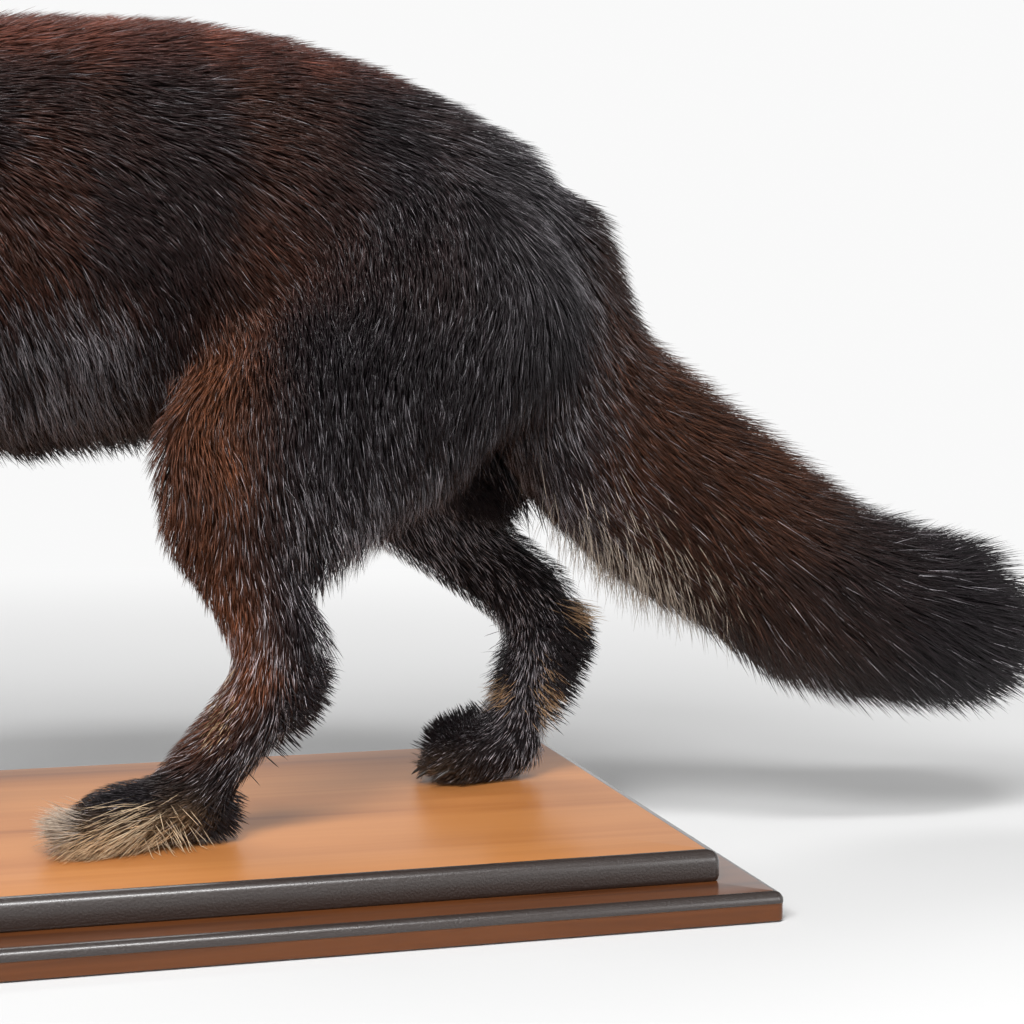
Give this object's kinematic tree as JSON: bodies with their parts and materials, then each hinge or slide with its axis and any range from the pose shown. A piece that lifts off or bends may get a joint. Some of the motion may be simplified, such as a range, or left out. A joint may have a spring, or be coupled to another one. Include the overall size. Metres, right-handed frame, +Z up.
{
  "type": "taxidermy fox on wooden base",
  "caption": "Life-size mounted fox with a dark coat and a full brush, walking, fixed to a two-tier varnished wooden base.",
  "frame": {"origin": "centre of the underside of the wooden base", "axes": "+Z up; the fox faces -X, its tail runs out past the base's +X end, its right side is +Y and its left side is -Y"},
  "size_m": [0.945, 0.333, 0.5358],
  "materials": {
    "coat": "dense dark fur, brown to black",
    "nose": "dark, slightly damp-looking",
    "eye": "amber glass eye with a dark slit pupil",
    "varnished_wood": "gloss varnish, black rounded edge",
    "ebonised_wood": "gloss dark stain, black rounded edge over a brown band"
  },
  "bodies": {
    "root": {"head": "coat", "jaw": "coat", "ear_left": "coat", "ear_right": "coat", "neck": "coat", "trunk": "coat", "tail": "coat", "thigh_left": "coat", "shank_left": "coat", "hindfoot_left": "coat", "hindpaw_left": "coat", "upper_arm_left": "coat", "forearm_left": "coat", "forefoot_left": "coat", "forepaw_left": "coat", "thigh_right": "coat", "shank_right": "coat", "hindfoot_right": "coat", "hindpaw_right": "coat", "upper_arm_right": "coat", "forearm_right": "coat", "forefoot_right": "coat", "forepaw_right": "coat", "nose": "nose", "eye_left": "eye", "eye_right": "eye", "base_upper_board": "varnished_wood", "base_lower_board": "ebonised_wood"}
  },
  "joints": []
}
